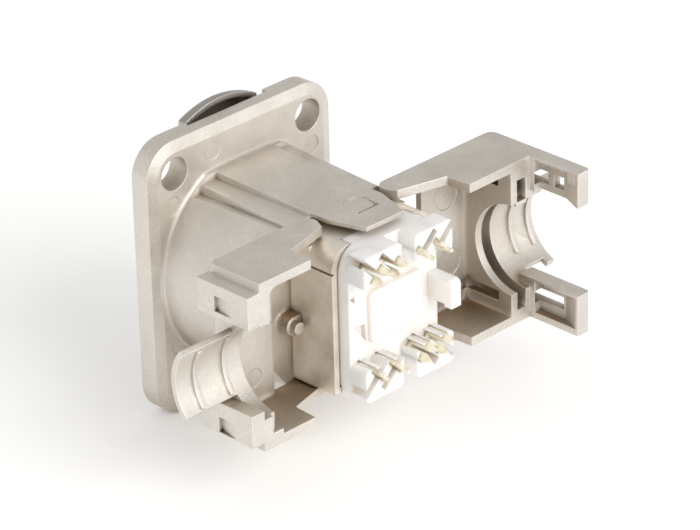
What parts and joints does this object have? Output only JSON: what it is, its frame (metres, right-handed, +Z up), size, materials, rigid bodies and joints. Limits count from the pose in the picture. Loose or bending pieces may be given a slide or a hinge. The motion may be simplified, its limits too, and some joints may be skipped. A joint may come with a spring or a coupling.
{
  "type": "ethernet wall socket",
  "caption": "Panel-mount network socket with a square flange, a round barrel, a front push latch and a tool-free cable termination under two hinged cover halves.",
  "frame": {"origin": "middle of the flange's rear face, the face that seats on the panel", "axes": "+Y goes behind the panel along the barrel, -Y is the plug side, +Z is up with the latch at the top, +X is the left side seen from behind"},
  "size_m": [0.0515, 0.033, 0.0319],
  "materials": {
    "die_cast_nickel": "satin nickel plate over die-cast zinc, fine orange-peel grain",
    "frame_nickel": "satin nickel plate",
    "latch_metal": "satin nickel plate",
    "steel_pin": "ground steel",
    "spring_steel": "drawn wire",
    "white_plastic": "moulded, slight gloss",
    "black_plastic": "moulded, matt",
    "contact_gold": "thin gold flash over bronze",
    "board_green": "solder mask"
  },
  "bodies": {
    "socket_body": {"circuit_board": "board_green", "flange_housing": "die_cast_nickel", "hinge_pin_left_bottom": "steel_pin", "hinge_pin_left_top": "steel_pin", "hinge_pin_right_bottom": "steel_pin", "hinge_pin_right_top": "steel_pin", "jack_contact_1": "contact_gold", "jack_contact_2": "contact_gold", "jack_contact_3": "contact_gold", "jack_contact_4": "contact_gold", "jack_contact_5": "contact_gold", "jack_contact_6": "contact_gold", "jack_contact_7": "contact_gold", "jack_contact_8": "contact_gold", "jack_housing": "black_plastic", "latch_pin": "steel_pin", "latch_spring": "spring_steel", "module_frame": "frame_nickel", "termination_block": "white_plastic", "wire_contact_1": "contact_gold", "wire_contact_2": "contact_gold", "wire_contact_3": "contact_gold", "wire_contact_4": "contact_gold", "wire_contact_5": "contact_gold", "wire_contact_6": "contact_gold", "wire_contact_7": "contact_gold", "wire_contact_8": "contact_gold"},
    "left_cover_half": {"left_cover": "die_cast_nickel"},
    "right_cover_half": {"right_cover": "die_cast_nickel"},
    "latch": {"latch_lever": "latch_metal"}
  },
  "joints": [
    {"name": "left_cover_hinge", "type": "hinge", "parent": "socket_body", "child": "left_cover_half", "pos_m": [0.00605, 0.01545, 0.00093], "axis": [0, 0, 1], "range_deg": [0, 90]},
    {"name": "right_cover_hinge", "type": "hinge", "parent": "socket_body", "child": "right_cover_half", "pos_m": [-0.00605, 0.01545, 0.00093], "axis": [0, 0, -1], "range_deg": [0, 90]},
    {"name": "latch_pivot", "type": "hinge", "parent": "socket_body", "child": "latch", "pos_m": [0, -0.0015, 0.0122], "axis": [-1, 0, 0], "range_deg": [0, 8], "stiffness_Nm_per_rad": 0.01, "springref_deg": -5.73}
  ]
}
